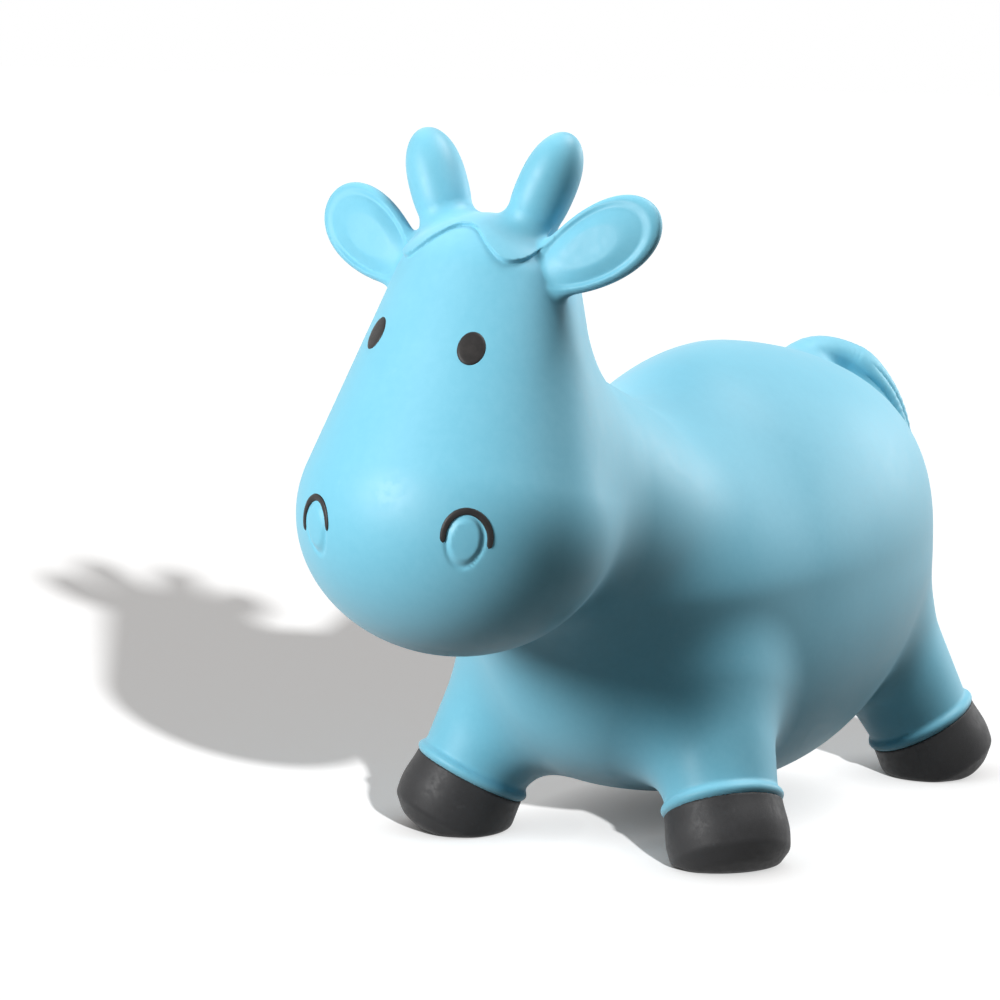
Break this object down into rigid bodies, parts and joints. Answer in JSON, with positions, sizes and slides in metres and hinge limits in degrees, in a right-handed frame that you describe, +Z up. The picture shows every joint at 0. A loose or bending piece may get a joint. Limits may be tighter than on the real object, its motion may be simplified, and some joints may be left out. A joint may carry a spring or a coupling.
{
  "type": "bouncy ride-on cow",
  "caption": "Inflated ride-on toy cow with a barrel body to sit on, splayed legs with dark hooves, horns and ears to hold, and an air valve on the rump.",
  "frame": {"origin": "on the floor, below the middle of the cow's length and width", "axes": "+Z up, the cow faces -Y, its left side is +X"},
  "size_m": [0.312, 0.6438, 0.4921],
  "materials": {
    "blue_vinyl": "satin soft vinyl with faint mottling",
    "hoof_vinyl": "matt charcoal dipped coat",
    "eye_paint": "semi-gloss dark brown paint",
    "valve_plastic": "satin white"
  },
  "bodies": {
    "root": {"body_skin": "blue_vinyl", "tail": "blue_vinyl", "valve_seat": "valve_plastic"},
    "head": {"head_skin": "blue_vinyl", "left_eye": "eye_paint", "right_eye": "eye_paint", "left_nostril_line": "eye_paint", "right_nostril_line": "eye_paint"},
    "left_ear": {"left_ear": "blue_vinyl"},
    "right_ear": {"right_ear": "blue_vinyl"},
    "left_horn": {"left_horn": "blue_vinyl"},
    "right_horn": {"right_horn": "blue_vinyl"},
    "front_left_leg": {"front_left_leg": "blue_vinyl", "front_left_hoof": "hoof_vinyl"},
    "front_right_leg": {"front_right_leg": "blue_vinyl", "front_right_hoof": "hoof_vinyl"},
    "rear_left_leg": {"rear_left_leg": "blue_vinyl", "rear_left_hoof": "hoof_vinyl"},
    "rear_right_leg": {"rear_right_leg": "blue_vinyl", "rear_right_hoof": "hoof_vinyl"},
    "valve_plug": {"valve_plug": "valve_plastic"}
  },
  "joints": [
    {"name": "head_nod", "type": "hinge", "parent": "root", "child": "head", "pos_m": [0, -0.033, 0.195], "axis": [1, 0, 0], "range_deg": [-8, 8], "stiffness_Nm_per_rad": 120},
    {"name": "front_left_leg_splay", "type": "hinge", "parent": "root", "child": "front_left_leg", "pos_m": [0.072, -0.035, 0.108], "axis": [0, -1, 0], "range_deg": [-5, 8], "stiffness_Nm_per_rad": 150},
    {"name": "front_right_leg_splay", "type": "hinge", "parent": "root", "child": "front_right_leg", "pos_m": [-0.072, -0.035, 0.108], "axis": [0, 1, 0], "range_deg": [-5, 8], "stiffness_Nm_per_rad": 150},
    {"name": "rear_left_leg_splay", "type": "hinge", "parent": "root", "child": "rear_left_leg", "pos_m": [0.059, 0.242, 0.108], "axis": [0, -1, 0], "range_deg": [-5, 8], "stiffness_Nm_per_rad": 150},
    {"name": "rear_right_leg_splay", "type": "hinge", "parent": "root", "child": "rear_right_leg", "pos_m": [-0.059, 0.242, 0.108], "axis": [0, 1, 0], "range_deg": [-5, 8], "stiffness_Nm_per_rad": 150},
    {"name": "left_ear_flap", "type": "hinge", "parent": "head", "child": "left_ear", "pos_m": [0.04866, -0.21026, 0.40192], "axis": [0.525, -0.1316, -0.8409], "range_deg": [-20, 20], "stiffness_Nm_per_rad": 1.5},
    {"name": "right_ear_flap", "type": "hinge", "parent": "head", "child": "right_ear", "pos_m": [-0.04866, -0.21026, 0.40192], "axis": [0.525, 0.1316, 0.8409], "range_deg": [-20, 20], "stiffness_Nm_per_rad": 1.5},
    {"name": "left_horn_bend", "type": "hinge", "parent": "head", "child": "left_horn", "pos_m": [0.02426, -0.19641, 0.41848], "axis": [1, 0, 0], "range_deg": [-15, 15], "stiffness_Nm_per_rad": 3},
    {"name": "right_horn_bend", "type": "hinge", "parent": "head", "child": "right_horn", "pos_m": [-0.02426, -0.19641, 0.41848], "axis": [1, 0, 0], "range_deg": [-15, 15], "stiffness_Nm_per_rad": 3},
    {"name": "valve_plug_pull", "type": "slide", "parent": "root", "child": "valve_plug", "axis": [0, 0.7736, -0.6337], "range_m": [0, 0.025]}
  ]
}
